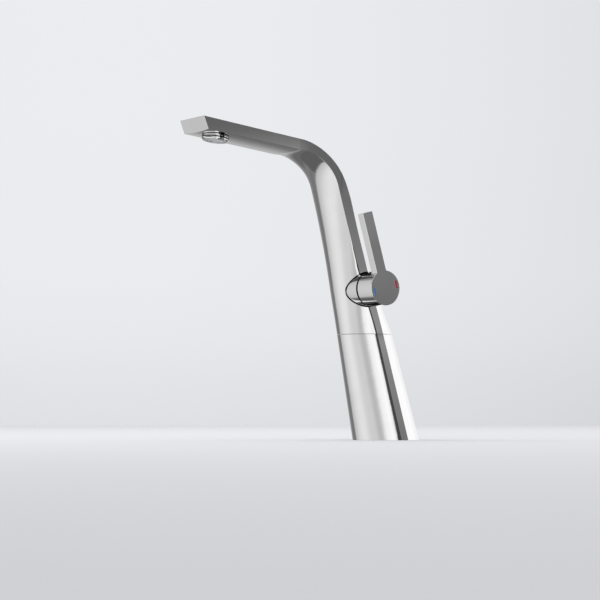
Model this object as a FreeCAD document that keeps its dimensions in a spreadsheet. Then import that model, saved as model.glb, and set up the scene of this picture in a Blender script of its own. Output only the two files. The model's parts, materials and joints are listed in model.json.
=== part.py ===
import FreeCAD, Part
import os
import re
import Sketcher

# Single-lever mixer tap with a leaning column that swivels on its own foot.
# Millimetres, +Z up, spout along -Y, handle on the +X side.
# The origin is the centre of the foot where it sits on the deck.
# "forward" sizes run along -Y, and the cartridge group is drawn about its own axis,
# which points along +X.

SIZES = {
    # foot: a leaning cone with a small flat on either side
    "foot_radius": 33.1,
    "foot_flat": 4.0,
    "seam_radius": 27.3,
    "seam_flat": 3.5,
    "seam_height": 104.5,
    "seam_forward": 25.7,
    "foot_wall": 4.0,
    "floor_thickness": 10.0,
    "gasket_inner": 25.0,
    "gasket_outer": 29.5,
    "gasket_thickness": 2.0,
    # fixing set under the deck
    "stud_radius": 4.0,
    "stud_length": 75.0,
    "stud_back": 10.5,
    "hose_hole_radius": 9.8,
    "hose_hole_forward": 6.0,
    "slot_half_width": 8.8,
    "deck_thickness": 40.0,
    "clamp_radius": 23.0,
    "clamp_thickness": 2.5,
    "cushion_thickness": 3.0,
    "nut_flats": 13.0,
    "nut_height": 6.5,
    # swivel
    "sleeve_radius": 14.0,
    "sleeve_bore": 11.5,
    "sleeve_seat": 7.0,
    "bearing_depth": 18.0,
    "bush_wall": 1.2,
    "bush_end_gap": 0.8,
    "seam_gap": 0.35,
    "glide_inner": 16.5,
    "glide_outer": 19.4,
    "glide_recess": 2.0,
    "washer_thickness": 1.5,
    "washer_outer": 17.2,
    "clip_thickness": 1.5,
    "clip_outer": 16.2,
    "clip_groove_depth": 0.8,
    "clip_opening": 50.0,
    "sleeve_tail": 1.8,
    "stop_radius": 21.3,
    "stop_pin_radius": 1.25,
    "stop_pin_depth": 9.0,
    "stop_pin_height": 4.0,
    "stop_groove_margin": 0.35,
    "swivel_range": 60.0,
    # leaning neck: side faces, crowns and creases by height
    "neck_half_foot": 30.9,
    "neck_taper": 0.03,
    "back_foot": 4.3,
    "back_slope": 0.2671,
    "shoulder_height": 126.0,
    "shoulder_forward": 28.8,
    "shoulder_depth": 7.9,
    "shoulder_front_crown": 20.0,
    "shoulder_back_crown": 20.2,
    "waist_height": 152.0,
    "waist_forward": 36.1,
    "waist_depth": 9.6,
    "waist_front_crown": 15.6,
    "waist_back_crown": 16.2,
    "neck_height": 184.0,
    "neck_depth": 10.4,
    "neck_front_crown": 11.4,
    "neck_back_crown": 7.5,
    "throat_height": 216.0,
    "throat_depth": 10.9,
    "throat_front_crown": 8.6,
    "throat_back_crown": 1.6,
    # bend and arm
    "neck_lean": 14.95,
    "arm_rise": 7.5,
    "corner_forward": 72.2,
    "corner_height": 286.4,
    "bend_radius": 67.0,
    "blade_thickness": 10.8,
    "bend_thinning": 2.3,
    "bend_half_width": 23.9,
    "bend_front_crown": 6.3,
    "arm_half_width": 22.6,
    "arm_front_crown": 1.0,
    "tip_half_width": 22.2,
    "tip_thickness": 11.7,
    "tip_forward": 225.5,
    "tip_undercut": 21.4,
    # water ways
    "port_radius": 4.0,
    "port_depth": 9.0,
    "port_spread": 4.9,
    "port_side": 5.5,
    "channel_radius": 2.4,
    "channel_rise_radius": 2.0,
    "channel_side": 17.5,
    "riser_top": 172.0,
    "waterway_radius": 3.0,
    # aerator under the tip, square to the arm
    "outlet_forward": 197.8,
    "outlet_seat_radius": 13.3,
    "outlet_seat_depth": 11.9,
    "aerator_radius": 12.9,
    "aerator_height": 4.5,
    "aerator_chamfer": 1.0,
    "aerator_collar": 1.4,
    "aerator_groove": 0.6,
    "aerator_thread_radius": 11.0,
    "aerator_thread_height": 5.0,
    "aerator_wall": 1.8,
    "aerator_lip": 1.0,
    "outlet_chamber_radius": 8.0,
    "outlet_roof": 2.0,
    "seal_thickness": 1.4,
    "insert_recess": 1.0,
    "insert_height": 8.0,
    "jet_count": 8,
    "jet_radius": 0.8,
    "jet_circle": 5.4,
    # handle axis and boss
    "axis_forward": 40.2,
    "axis_height": 148.4,
    "lever_lean": 16.3,
    "boss_radius": 16.7,
    "boss_face": 30.4,
    "boss_gap": 0.8,
    "boss_recess_floor": 12.0,
    # cartridge
    "cartridge_radius": 12.5,
    "cartridge_seat": 11.0,
    "cartridge_length": 29.0,
    "cartridge_wall": 1.5,
    "cartridge_base_thickness": 3.5,
    "cartridge_lip": 2.0,
    "cartridge_mouth": 8.2,
    "seal_radius": 3.6,
    "seal_wire": 1.1,
    "inlet_spread": 5.2,
    "inlet_drop": 4.5,
    "outlet_lift": 5.4,
    "disc_port_radius": 2.3,
    "fixed_disc_radius": 10.7,
    "fixed_disc_thickness": 3.0,
    "moving_disc_radius": 7.9,
    "moving_disc_thickness": 2.5,
    "mixing_pocket_depth": 1.2,
    "mixing_pocket_radius": 5.6,
    "carrier_thickness": 6.0,
    "rotor_radius": 10.6,
    "rotor_gap": 0.35,
    "rotor_neck_rise": 0.6,
    "pivot_side": 10.5,
    "ball_reach": 8.0,
    "ball_radius": 2.4,
    "ball_neck_radius": 1.6,
    "socket_floor": 1.0,
    "disc_rest": 1.2,
    "slide_gap": 0.05,
    "socket_clearance": 0.16,
    "pivot_pin_radius": 1.25,
    "stem_half": 3.0,
    "stem_slot_gap": 0.15,
    "stem_end": 50.5,
    "nut_ring_length": 5.0,
    "nut_ring_wall": 1.8,
    "nut_ring_mouth": 10.0,
    "lift_range": 12.0,
    # handle
    "handle_radius": 17.0,
    "handle_gap": 2.4,
    "handle_face": 56.4,
    "handle_plate": 3.2,
    "rim_wall": 1.2,
    "rim_depth": 4.5,
    "handle_wall": 3.0,
    "hub_radius": 6.6,
    "hub_start": 36.5,
    "socket_gap": 0.06,
    "lever_half_width": 5.75,
    "lever_root_radius": 2.2,
    "lever_thickness": 8.9,
    "lever_reach": 75.4,
    "screw_radius": 2.0,
    "screw_length": 4.5,
    "screw_side": 44.0,
    "plug_radius": 2.4,
    "mark_radius": 13.4,
    "mark_width": 2.6,
    "mark_half_length": 3.7,
    "mark_inlay": 0.5,
    # fits
    "fit_gap": 0.03,
    "running_gap": 0.07,
    "face_gap": 0.15,
    "thread_gap": 0.05,
}

doc = FreeCAD.newDocument("MixerTap")
sheet = doc.addObject("Spreadsheet::Sheet", "Sizes")
for row, (alias, number) in enumerate(SIZES.items(), start=1):
    sheet.set(f"A{row}", alias)
    sheet.set(f"B{row}", str(number))
    sheet.setAlias(f"B{row}", alias)
doc.recompute()

X_AXIS = FreeCAD.Vector(1, 0, 0)
PARTS = []


def sized(text):
    """The expression with every size name pointing at the sheet."""
    def linked(word):
        return f"Sizes.{word[0]}" if word[0] in SIZES else word[0]

    return re.sub(r"[a-z_]+", linked, text)


def bind(thing, place, text):
    thing.setExpression(place, sized(text))


def new_body(label, side="0", forward="0", height="0", lean=None):
    body = doc.addObject("PartDesign::Body", label)
    body.Label = label
    body.Placement = FreeCAD.Placement(FreeCAD.Vector(), FreeCAD.Rotation(X_AXIS, 1 if lean else 0))
    bind(body, "Placement.Base.x", side)
    bind(body, "Placement.Base.y", f"-({forward})")
    bind(body, "Placement.Base.z", height)
    if lean:
        bind(body, "Placement.Rotation.Angle", lean)
    PARTS.append(body)
    return body


def cartridge_body(label):
    """A piece of the cartridge group, drawn about the handle's axis, lever along its +Z."""
    return new_body(label, "0", "axis_forward", "axis_height", "lever_lean")


def swivel_body(label):
    """A piece turned about the swivel axis, with its zero at the foot's top face."""
    return new_body(label, "0", "seam_forward", "seam_height")


def new_sketch(body, name, plane, lift="0", across="0", up="0", tilt=None):
    sketch = body.newObject("Sketcher::SketchObject", body.Label + "_" + name)
    support = next(item for item in body.Origin.OriginFeatures if item.Role == plane)
    sketch.AttachmentSupport = [(support, "")]
    sketch.MapMode = "FlatFace"
    turn = FreeCAD.Rotation(X_AXIS, 1 if tilt else 0)
    sketch.AttachmentOffset = FreeCAD.Placement(FreeCAD.Vector(), turn)
    bind(sketch, "AttachmentOffset.Base.x", across)
    bind(sketch, "AttachmentOffset.Base.y", up)
    bind(sketch, "AttachmentOffset.Base.z", lift)
    if tilt:
        bind(sketch, "AttachmentOffset.Rotation.Angle", tilt)
    return sketch


def pin_point(sketch, edge, end, across, up):
    spot = sketch.getPoint(edge, end)
    for kind, now, text in (("DistanceX", spot.x, across), ("DistanceY", spot.y, up)):
        index = sketch.addConstraint(Sketcher.Constraint(kind, -1, 1, edge, end, now))
        bind(sketch, f"Constraints[{index}]", text)


def outline(body, name, plane, points, **where):
    """A closed outline of straight edges through points given as pairs of expressions."""
    sketch = new_sketch(body, name, plane, **where)
    count = len(points)
    rough = [FreeCAD.Vector(step, step * step, 0) for step in range(count)]
    for step in range(count):
        sketch.addGeometry(Part.LineSegment(rough[step], rough[(step + 1) % count]))
    for step in range(count):
        sketch.addConstraint(Sketcher.Constraint("Coincident", step, 2, (step + 1) % count, 1))
    for step, (across, up) in enumerate(points):
        pin_point(sketch, step, 1, across, up)
    return sketch


def discs(body, name, plane, circles, **where):
    """Circles given as centre and radius."""
    sketch = new_sketch(body, name, plane, **where)
    for step, (across, up, radius) in enumerate(circles):
        sketch.addGeometry(Part.Circle(FreeCAD.Vector(), FreeCAD.Vector(0, 0, 1), 1.0))
        pin_point(sketch, step, 3, across, up)
        index = sketch.addConstraint(Sketcher.Constraint("Radius", step, 1.0))
        bind(sketch, f"Constraints[{index}]", radius)
    return sketch


def crowned(body, name, half, depth, front, back=None, **where):
    """A slab's section: two straight sides, an arc at the front, and an arc or a flat at the back."""
    sketch = new_sketch(body, name, "XY_Plane", **where)
    point = FreeCAD.Vector
    front_arc = Part.Circle(point(0, 10, 0), point(0, 0, 1), 30)
    back_arc = Part.Circle(point(0, -20, 0), point(0, 0, 1), 30)
    sketch.addGeometry(Part.ArcOfCircle(front_arc, 4.0, 5.4))
    sketch.addGeometry(Part.LineSegment(point(20, -10, 0), point(20, 0, 0)))
    if back:
        sketch.addGeometry(Part.ArcOfCircle(back_arc, 0.8, 2.3))
    else:
        sketch.addGeometry(Part.LineSegment(point(20, 0, 0), point(-20, 0, 0)))
    sketch.addGeometry(Part.LineSegment(point(-20, 0, 0), point(-20, -10, 0)))
    for step in range(4):
        sketch.addConstraint(Sketcher.Constraint("Coincident", step, 2, (step + 1) % 4, 1))
    for edge, end, side, up in ((0, 1, "-", f"-({depth})"), (0, 2, "", f"-({depth})"),
                                (2, 1, "", "0"), (2, 2, "-", "0")):
        pin_point(sketch, edge, end, f"{side}({half})", up)
    for edge, crown in ((0, front), (2, back)):
        if crown:
            index = sketch.addConstraint(Sketcher.Constraint("Radius", edge, 30.0))
            bind(sketch, f"Constraints[{index}]", f"(({half})^2 + ({crown})^2) / (2 * ({crown}))")
    return sketch


def round_section(body, name, radius, flat, **where):
    """A full round with a flat on either side, as a section with the same four edges."""
    half = f"sqrt(({radius})^2 - ({flat})^2)"
    crown = f"({radius}) - ({flat})"
    return crowned(body, name, half, f"2 * ({flat})", crown, crown, **where)


def pad(body, sketch, length, cut=False, backward=False):
    kind = "PartDesign::Pocket" if cut else "PartDesign::Pad"
    feature = body.newObject(kind, sketch.Name + ("_pocket" if cut else "_pad"))
    feature.Profile = sketch
    bind(feature, "Length", length)
    feature.Reversed = backward
    return feature


def drill(body, sketch, length):
    """A pocket that runs along the sketch's own normal."""
    return pad(body, sketch, length, cut=True, backward=True)


def turn(body, points, axis="Z", cut=False, name="profile"):
    """Revolve an outline about the body's Z axis (radius, height) or X axis (along, radius)."""
    sketch = outline(body, name, "XZ_Plane", points)
    kind = "PartDesign::Groove" if cut else "PartDesign::Revolution"
    feature = body.newObject(kind, sketch.Name + "_turn")
    feature.Profile = sketch
    feature.ReferenceAxis = (sketch, ["V_Axis" if axis == "Z" else "H_Axis"])
    feature.Angle = 360
    return feature


def ring(body, inner, outer, low, high, axis="Z", cut=False, name="profile"):
    corners = [(inner, low), (outer, low), (outer, high), (inner, high)]
    if axis == "X":
        corners = [(along, radius) for radius, along in corners]
    return turn(body, corners, axis, cut, name)


def loft(body, sections, cut=False, ruled=False, name="skin"):
    kind = "PartDesign::SubtractiveLoft" if cut else "PartDesign::AdditiveLoft"
    feature = body.newObject(kind, body.Label + "_" + name)
    feature.Profile = sections[0]
    feature.Sections = sections[1:]
    feature.Ruled = ruled
    return feature


def foot():
    body = new_body("base_body")
    low = round_section(body, "low", "foot_radius", "foot_flat", up="foot_flat")
    high = round_section(body, "high", "seam_radius", "seam_flat",
                         lift="seam_height", up="-seam_forward + seam_flat")
    loft(body, [low, high], ruled=True)
    floor = inside(body, "cavity_low", "floor_thickness")
    mouth = inside(body, "cavity_high", "seam_height")
    loft(body, [floor, mouth], cut=True, ruled=True, name="cavity")
    hoses = discs(body, "floor_holes", "XY_Plane", [
        ("0", "-hose_hole_forward", "hose_hole_radius"),
        ("0", "stud_back", "stud_radius + thread_gap")])
    drill(body, hoses, "floor_thickness")
    groove = discs(body, "gasket_groove", "XY_Plane", [
        ("0", "0", "gasket_outer + fit_gap"), ("0", "0", "gasket_inner - fit_gap")])
    drill(body, groove, "gasket_thickness")


def inside(body, name, height, gap="0"):
    """The round inside of the foot at a height."""
    slope = "(foot_radius - seam_radius) / seam_height"
    return discs(body, name, "XY_Plane", [
        ("0", f"-seam_forward * ({height}) / seam_height",
         f"foot_radius - foot_wall - {slope} * ({height}) - {gap}")], lift=height)


def bearing_seat():
    """A turned block soldered into the mouth of the foot, bored for the swivel."""
    body = new_body("bearing_seat")
    low = inside(body, "low", "seam_height - bearing_depth", "fit_gap")
    high = inside(body, "high", "seam_height", "fit_gap")
    loft(body, [low, high], ruled=True)
    bore = discs(body, "bearing_bore", "XY_Plane", [
        ("0", "-seam_forward", "sleeve_radius + running_gap + bush_wall + fit_gap")], lift="seam_height")
    pad(body, bore, "bearing_depth + washer_thickness", cut=True)
    recess = discs(body, "glide_recess", "XY_Plane", [
        ("0", "-seam_forward", "glide_outer + fit_gap")], lift="seam_height")
    pad(body, recess, "glide_recess", cut=True)
    pin = discs(body, "pin_hole", "XY_Plane", [
        ("0", "-seam_forward + stop_radius", "stop_pin_radius + fit_gap")], lift="seam_height")
    pad(body, pin, "stop_pin_depth", cut=True)


def horseshoe(label, low, thickness):
    """A round plate with a slot from the hoses to its front edge, and a hole for the stud."""
    body = new_body(label)
    plate = discs(body, "plate", "XY_Plane", [("0", "0", "clamp_radius")], lift=low)
    pad(body, plate, thickness)
    holes = discs(body, "holes", "XY_Plane", [
        ("0", "-hose_hole_forward", "hose_hole_radius"),
        ("0", "stud_back", "stud_radius + thread_gap")], lift=low)
    drill(body, holes, thickness)
    slot = outline(body, "slot", "XY_Plane", [
        ("-slot_half_width", "-hose_hole_forward"), ("slot_half_width", "-hose_hole_forward"),
        ("slot_half_width", "-clamp_radius"), ("-slot_half_width", "-clamp_radius")], lift=low)
    drill(body, slot, thickness)


def fixing_set():
    ring(new_body("base_gasket"), "gasket_inner", "gasket_outer", "0", "gasket_thickness - face_gap")
    stud = new_body("mounting_stud", forward="-stud_back")
    ring(stud, "0", "stud_radius", "floor_thickness - stud_length", "floor_thickness")
    horseshoe("rubber_cushion", "-deck_thickness - cushion_thickness", "cushion_thickness")
    plate_low = "-deck_thickness - cushion_thickness - clamp_thickness"
    horseshoe("clamp_plate", plate_low, "clamp_thickness")
    nut = new_body("mounting_nut", forward="-stud_back")
    corners = [(f"nut_flats / sqrt(3) * cos({60 * step})", f"nut_flats / sqrt(3) * sin({60 * step})")
               for step in range(6)]
    hexagon = outline(nut, "hexagon", "XY_Plane", corners, lift=f"{plate_low} - nut_height")
    pad(nut, hexagon, "nut_height")
    bore = discs(nut, "bore", "XY_Plane", [("0", "0", "stud_radius + thread_gap")],
                 lift=f"{plate_low} - nut_height")
    drill(nut, bore, "nut_height")


def swivel_bearing():
    """Bush, glide ring and stop pin stay with the foot; sleeve, washer and clip turn with the spout."""
    bush = swivel_body("bearing_bush")
    ring(bush, "sleeve_radius + running_gap", "sleeve_radius + running_gap + bush_wall",
         "-bearing_depth + bush_end_gap", "-bush_end_gap")
    glide = swivel_body("glide_ring")
    ring(glide, "glide_inner", "glide_outer", "-glide_recess", "seam_gap - face_gap")
    pin = swivel_body("stop_pin")
    shape = discs(pin, "round", "XY_Plane", [
        ("0", "stop_radius", "stop_pin_radius")], lift="-stop_pin_depth")
    pad(pin, shape, "stop_pin_depth + stop_pin_height")
    clip_top = "-bearing_depth - face_gap - washer_thickness - face_gap"
    clip_low = f"{clip_top} - clip_thickness"
    sleeve = swivel_body("swivel_sleeve")
    ring(sleeve, "sleeve_bore", "sleeve_radius", f"{clip_low} - sleeve_tail", "seam_gap + sleeve_seat")
    ring(sleeve, "sleeve_radius - clip_groove_depth", "sleeve_radius + clip_groove_depth",
         f"{clip_low} - face_gap", f"{clip_top} + face_gap", cut=True, name="clip_groove")
    washer = swivel_body("thrust_washer")
    ring(washer, "sleeve_radius + running_gap", "washer_outer",
         f"{clip_top} + face_gap", "-bearing_depth - face_gap")
    clip = swivel_body("retaining_clip")
    ring(clip, "sleeve_radius - clip_groove_depth + fit_gap", "clip_outer", clip_low, clip_top)
    reach = "2 * clip_outer"
    wedge = outline(clip, "opening", "XY_Plane", [
        ("0", "0"), (f"-({reach}) * tan(clip_opening / 2)", f"({reach})"),
        (f"({reach}) * tan(clip_opening / 2)", f"({reach})")], lift=clip_low)
    drill(clip, wedge, "clip_thickness")


def spout_skin(body):
    """The shell's outer form: round at the seam, a thin slab at the throat, then the bend and the arm."""
    base = "seam_height + seam_gap"
    sections = []
    for share in ("0.5", "0.75", "1"):
        sections.append(round_section(
            body, f"run_up_{len(sections)}", f"foot_radius - (foot_radius - seam_radius) * {share}",
            f"foot_flat - (foot_flat - seam_flat) * {share}",
            lift=f"seam_height * {share}" if share != "1" else base,
            up=f"-seam_forward * {share} + foot_flat - (foot_flat - seam_flat) * {share}"))
    side = "(neck_half_foot - neck_taper * ({height}))"
    back = "(-back_foot + back_slope * ({height}))"
    for name in ("shoulder", "waist", "neck", "throat"):
        height = f"{name}_height"
        forward = f"{name}_forward" if name in ("shoulder", "waist") else back.format(height=height)
        sections.append(crowned(
            body, name, side.format(height=height), f"{name}_depth", f"{name}_front_crown",
            f"{name}_back_crown", lift=height, up=f"-({forward})"))
    turn_angle = "(90 - neck_lean - arm_rise)"
    run = f"bend_radius * tan({turn_angle} / 2)"
    centre_forward = f"(corner_forward - {run} * sin(neck_lean) + bend_radius * cos(neck_lean))"
    centre_height = f"(corner_height - {run} * cos(neck_lean) - bend_radius * sin(neck_lean))"
    for step in range(BEND_STEPS + 1):
        share = f"{step} / {BEND_STEPS}"
        tilt = f"(neck_lean + {turn_angle} * {share})"
        half = f"bend_half_width + (arm_half_width - bend_half_width) * {share}"
        depth = f"blade_thickness - bend_thinning * 4 * {share} * (1 - {share})"
        front = f"bend_front_crown + (arm_front_crown - bend_front_crown) * {share}"
        sections.append(crowned(
            body, f"bend_{step}", half, depth, front, tilt=tilt,
            lift=f"{centre_height} + bend_radius * sin({tilt})",
            up=f"-({centre_forward} - bend_radius * cos({tilt}))"))
    loft(body, sections)
    below = discs(body, "below_seam", "XY_Plane", [("0", "0", "2 * foot_radius")], lift=base)
    pad(body, below, "seam_height", cut=True)
    knee = crowned(body, "arm_root", "arm_half_width", "blade_thickness", "arm_front_crown",
                   tilt="(90 - arm_rise)", up=f"-({centre_forward} - bend_radius * sin(arm_rise))",
                   lift=f"{centre_height} + bend_radius * cos(arm_rise)")
    tip = crowned(body, "tip", "tip_half_width", "tip_thickness", "arm_front_crown",
                  tilt="(90 - arm_rise)", up="-tip_forward",
                  lift="corner_height + (tip_forward - corner_forward) * tan(arm_rise)")
    loft(body, [knee, tip], ruled=True, name="arm")


def along(body, name, circles, low, length, cut=True):
    """Circles on planes square to X, run along +X from low: (forward, up, radius) as expressions."""
    sketch = discs(body, name, "YZ_Plane", circles, lift=low)
    return drill(body, sketch, length) if cut else pad(body, sketch, length)


def turned_with_lever(across, up):
    """Where a point of the cartridge's own frame lies in the upright frame, as (Y, Z)."""
    return (f"-axis_forward + ({across}) * cos(lever_lean) - ({up}) * sin(lever_lean)",
            f"axis_height + ({across}) * sin(lever_lean) + ({up}) * cos(lever_lean)")


BEND_STEPS = 4
ARM_TOP = "(corner_height + (outlet_forward - corner_forward) * tan(arm_rise))"
PORTS = {"cold": ("-inlet_spread", "-inlet_drop"), "hot": ("inlet_spread", "-inlet_drop"),
         "mixed": ("0", "outlet_lift")}


def tip_cut(body):
    """The tip leans back under its top edge."""
    top = "(corner_height + (tip_forward - corner_forward) * tan(arm_rise))"
    drop = "3 * tip_thickness"
    wedge = outline(body, "tip_cut", "YZ_Plane", [
        ("-tip_forward", top), (f"-tip_forward - {drop}", top),
        (f"-tip_forward - {drop}", f"{top} - {drop}"),
        (f"-tip_forward + {drop} * tan(tip_undercut)", f"{top} - {drop}")], lift="-2 * tip_half_width")
    drill(body, wedge, "4 * tip_half_width")


def swivel_seat(body):
    """Bore for the sleeve, two hose ports above it, and the groove the stop pin runs in."""
    under = "seam_height + seam_gap"
    bore = discs(body, "sleeve_bore", "XY_Plane", [
        ("0", "-seam_forward", "sleeve_radius + fit_gap")], lift=under)
    drill(body, bore, "sleeve_seat")
    ports = discs(body, "ports", "XY_Plane", [
        ("-port_side", f"-seam_forward {sign} port_spread", "port_radius") for sign in "-+"],
        lift=f"{under} + sleeve_seat")
    drill(body, ports, "port_depth")
    width = "(stop_pin_radius + stop_groove_margin)"
    groove = new_sketch(body, "stop_groove", "XY_Plane", lift=under, up="-seam_forward")
    centre, flat = FreeCAD.Vector(), FreeCAD.Vector(0, 0, 1)
    for radius in (20, 24):
        groove.addGeometry(Part.ArcOfCircle(Part.Circle(centre, flat, radius), 0.5, 2.6))
    groove.addGeometry(Part.LineSegment(FreeCAD.Vector(17, 10, 0), FreeCAD.Vector(21, 12, 0)))
    groove.addGeometry(Part.LineSegment(FreeCAD.Vector(-17, 10, 0), FreeCAD.Vector(-21, 12, 0)))
    for first, end, second, other in ((0, 1, 2, 1), (1, 1, 2, 2), (0, 2, 3, 1), (1, 2, 3, 2)):
        groove.addConstraint(Sketcher.Constraint("Coincident", first, end, second, other))
    sweep = f"(swivel_range * 1 deg + asin({width} / stop_radius))"
    for edge, sign in ((0, "-"), (1, "+")):
        pin_point(groove, edge, 3, "0", "0")
        radius = f"(stop_radius {sign} {width})"
        pin_point(groove, edge, 1, f"{radius} * sin({sweep})", f"{radius} * cos({sweep})")
        index = groove.addConstraint(Sketcher.Constraint("DistanceX", -1, 1, edge, 2, -17 - 4 * edge))
        bind(groove, f"Constraints[{index}]", f"-{radius} * sin({sweep})")
    drill(body, groove, "stop_pin_height + face_gap")


def boss_and_seat(body):
    """The round boss on the handle side, bored for the cartridge and threaded for its nut."""
    centre = ("-axis_forward", "axis_height")
    recess = discs(body, "boss_recess", "YZ_Plane", [(*centre, "boss_radius + boss_gap")],
                   lift="boss_recess_floor")
    drill(body, recess, "neck_half_foot")
    boss = discs(body, "boss", "YZ_Plane", [(*centre, "boss_radius")])
    pad(body, boss, "boss_face")
    along(body, "cartridge_bore", [(*centre, "cartridge_radius + fit_gap")],
          "-cartridge_seat", "cartridge_seat + boss_face + boss_radius")
    shoulder = "(cartridge_length - cartridge_seat)"
    along(body, "nut_thread", [(*centre, "cartridge_radius + nut_ring_wall + thread_gap")],
          shoulder, f"boss_face - {shoulder} + boss_radius")


def water_ways(body):
    """Cored channels: two up to the cartridge's floor, one from it through the neck and the arm."""
    floor = "-channel_side - channel_radius"
    for name, sign in (("cold", "-"), ("hot", "+")):
        across, up = turned_with_lever(*PORTS[name])
        along(body, f"{name}_floor", [(across, up, "channel_radius")],
              floor, "channel_side + channel_radius - cartridge_seat")
        low = discs(body, f"{name}_low", "XY_Plane", [
            ("-port_side", f"-seam_forward {sign} port_spread", "channel_rise_radius")],
            lift="seam_height + seam_gap + sleeve_seat + port_depth - channel_radius")
        high = discs(body, f"{name}_high", "XY_Plane", [
            ("-channel_side", across, "channel_rise_radius")], lift=up)
        loft(body, [low, high], cut=True, ruled=True, name=f"{name}_channel")
    across, up = turned_with_lever(*PORTS["mixed"])
    along(body, "mixed_floor", [(across, up, "waterway_radius")],
          "-channel_side - waterway_radius", "channel_side + waterway_radius - cartridge_seat")
    middle = "(bend_radius - blade_thickness / 2)"
    turn_angle = "(90 - neck_lean - arm_rise)"
    run = f"bend_radius * tan({turn_angle} / 2)"
    centre_back = f"-(corner_forward - {run} * sin(neck_lean) + bend_radius * cos(neck_lean))"
    centre_up = f"(corner_height - {run} * cos(neck_lean) - bend_radius * sin(neck_lean))"
    first = (f"({centre_back} + {middle} * cos(neck_lean))",
             f"({centre_up} + {middle} * sin(neck_lean))")
    last = (f"({centre_back} + {middle} * sin(arm_rise))", f"({centre_up} + {middle} * cos(arm_rise))")
    foot_point = (f"({first[0]} + ({first[1]} - riser_top) * tan(neck_lean))", "riser_top")
    end_point = ("-outlet_forward", f"({last[1]} + (outlet_forward + {last[0]}) * tan(arm_rise))")
    low = discs(body, "riser_low", "XY_Plane", [
        ("-channel_side", across, "channel_radius")], lift=up)
    high = discs(body, "riser_high", "XY_Plane", [
        ("-channel_side", foot_point[0], "channel_radius")], lift="riser_top")
    loft(body, [low, high], cut=True, ruled=True, name="riser")
    along(body, "crossing", [(*foot_point, "waterway_radius")],
          "-channel_side - waterway_radius", "channel_side + 2 * waterway_radius")
    path = new_sketch(body, "water_path", "YZ_Plane")
    path.addGeometry(Part.LineSegment(FreeCAD.Vector(-47, 172, 0), FreeCAD.Vector(-65, 240, 0)))
    arc = Part.Circle(FreeCAD.Vector(-125, 225, 0), FreeCAD.Vector(0, 0, 1), 61)
    path.addGeometry(Part.ArcOfCircle(arc, 0.26, 1.44))
    path.addGeometry(Part.LineSegment(FreeCAD.Vector(-117, 286, 0), FreeCAD.Vector(-198, 297, 0)))
    for step in (0, 1):
        path.addConstraint(Sketcher.Constraint("Coincident", step, 2, step + 1, 1))
    for edge, end, spot in ((0, 1, foot_point), (1, 1, first), (1, 2, last), (2, 2, end_point)):
        pin_point(path, edge, end, *spot)
    index = path.addConstraint(Sketcher.Constraint("Radius", 1, 61.0))
    bind(path, f"Constraints[{index}]", middle)
    section = discs(body, "water_section", "XY_Plane", [("0", "0", "waterway_radius")],
                    lift=foot_point[1], up=foot_point[0], tilt="neck_lean")
    pipe = body.newObject("PartDesign::SubtractivePipe", "spout_body_water_pipe")
    pipe.Profile = section
    pipe.Spine = (path, [])


def outlet(body):
    """A spot face under the tip, bored and threaded for the aerator."""
    def level(depth):
        return {"lift": f"{ARM_TOP} - ({depth}) * cos(arm_rise)",
                "up": f"-outlet_forward - ({depth}) * sin(arm_rise)", "tilt": "-arm_rise"}

    seat = discs(body, "outlet_seat", "XY_Plane", [
        ("0", "0", "outlet_seat_radius")], **level("outlet_seat_depth"))
    pad(body, seat, "tip_thickness", cut=True)
    thread = discs(body, "outlet_thread", "XY_Plane", [
        ("0", "0", "aerator_thread_radius + thread_gap")], **level("outlet_seat_depth"))
    depth = "aerator_thread_height - face_gap + seal_thickness"
    drill(body, thread, depth)
    chamber = discs(body, "outlet_chamber", "XY_Plane", [("0", "0", "outlet_chamber_radius")],
                    **level(f"outlet_seat_depth - ({depth})"))
    drill(body, chamber, f"outlet_seat_depth - ({depth}) - outlet_roof")


def spout():
    body = new_body("spout_body")
    spout_skin(body)
    tip_cut(body)
    outlet(body)
    boss_and_seat(body)
    swivel_seat(body)
    water_ways(body)


def aerator_body(label):
    """A piece of the aerator, with its zero on the arm's top and its axis square to the arm."""
    return new_body(label, "0", "outlet_forward", ARM_TOP, "-arm_rise")


def aerator():
    top = "-outlet_seat_depth - face_gap"
    low = f"{top} - aerator_height"
    thread_top = f"{top} + aerator_thread_height"
    inner = "aerator_thread_radius - aerator_wall"
    turn(aerator_body("aerator_housing"), [
        (f"{inner} - aerator_lip", low), ("aerator_radius - aerator_chamfer", low),
        ("aerator_radius", f"{low} + aerator_chamfer"),
        ("aerator_radius", f"{top} - aerator_collar - aerator_groove"),
        ("aerator_radius - aerator_groove", f"{top} - aerator_collar - aerator_groove"),
        ("aerator_radius - aerator_groove", f"{top} - aerator_collar"),
        ("aerator_radius", f"{top} - aerator_collar"), ("aerator_radius", top),
        ("aerator_thread_radius", top), ("aerator_thread_radius", thread_top), (inner, thread_top),
        (inner, f"{low} + insert_recess"), (f"{inner} - aerator_lip", f"{low} + insert_recess")])
    ring(aerator_body("aerator_seal"), inner, "aerator_thread_radius - fit_gap",
         f"{thread_top} + fit_gap", f"{thread_top} + seal_thickness - fit_gap")
    insert = aerator_body("aerator_insert")
    ring(insert, "0", f"{inner} - fit_gap", f"{low} + insert_recess",
         f"{low} + insert_recess + insert_height")
    jets = [("0", "0", "jet_radius")]
    count = int(SIZES["jet_count"])
    for step in range(count):
        angle = f"(360 * {step} / jet_count)"
        jets.append((f"jet_circle * cos({angle})", f"jet_circle * sin({angle})", "jet_radius"))
    holes = discs(insert, "jets", "XY_Plane", jets, lift=f"{low} + insert_recess")
    drill(insert, holes, "insert_height")


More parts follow.
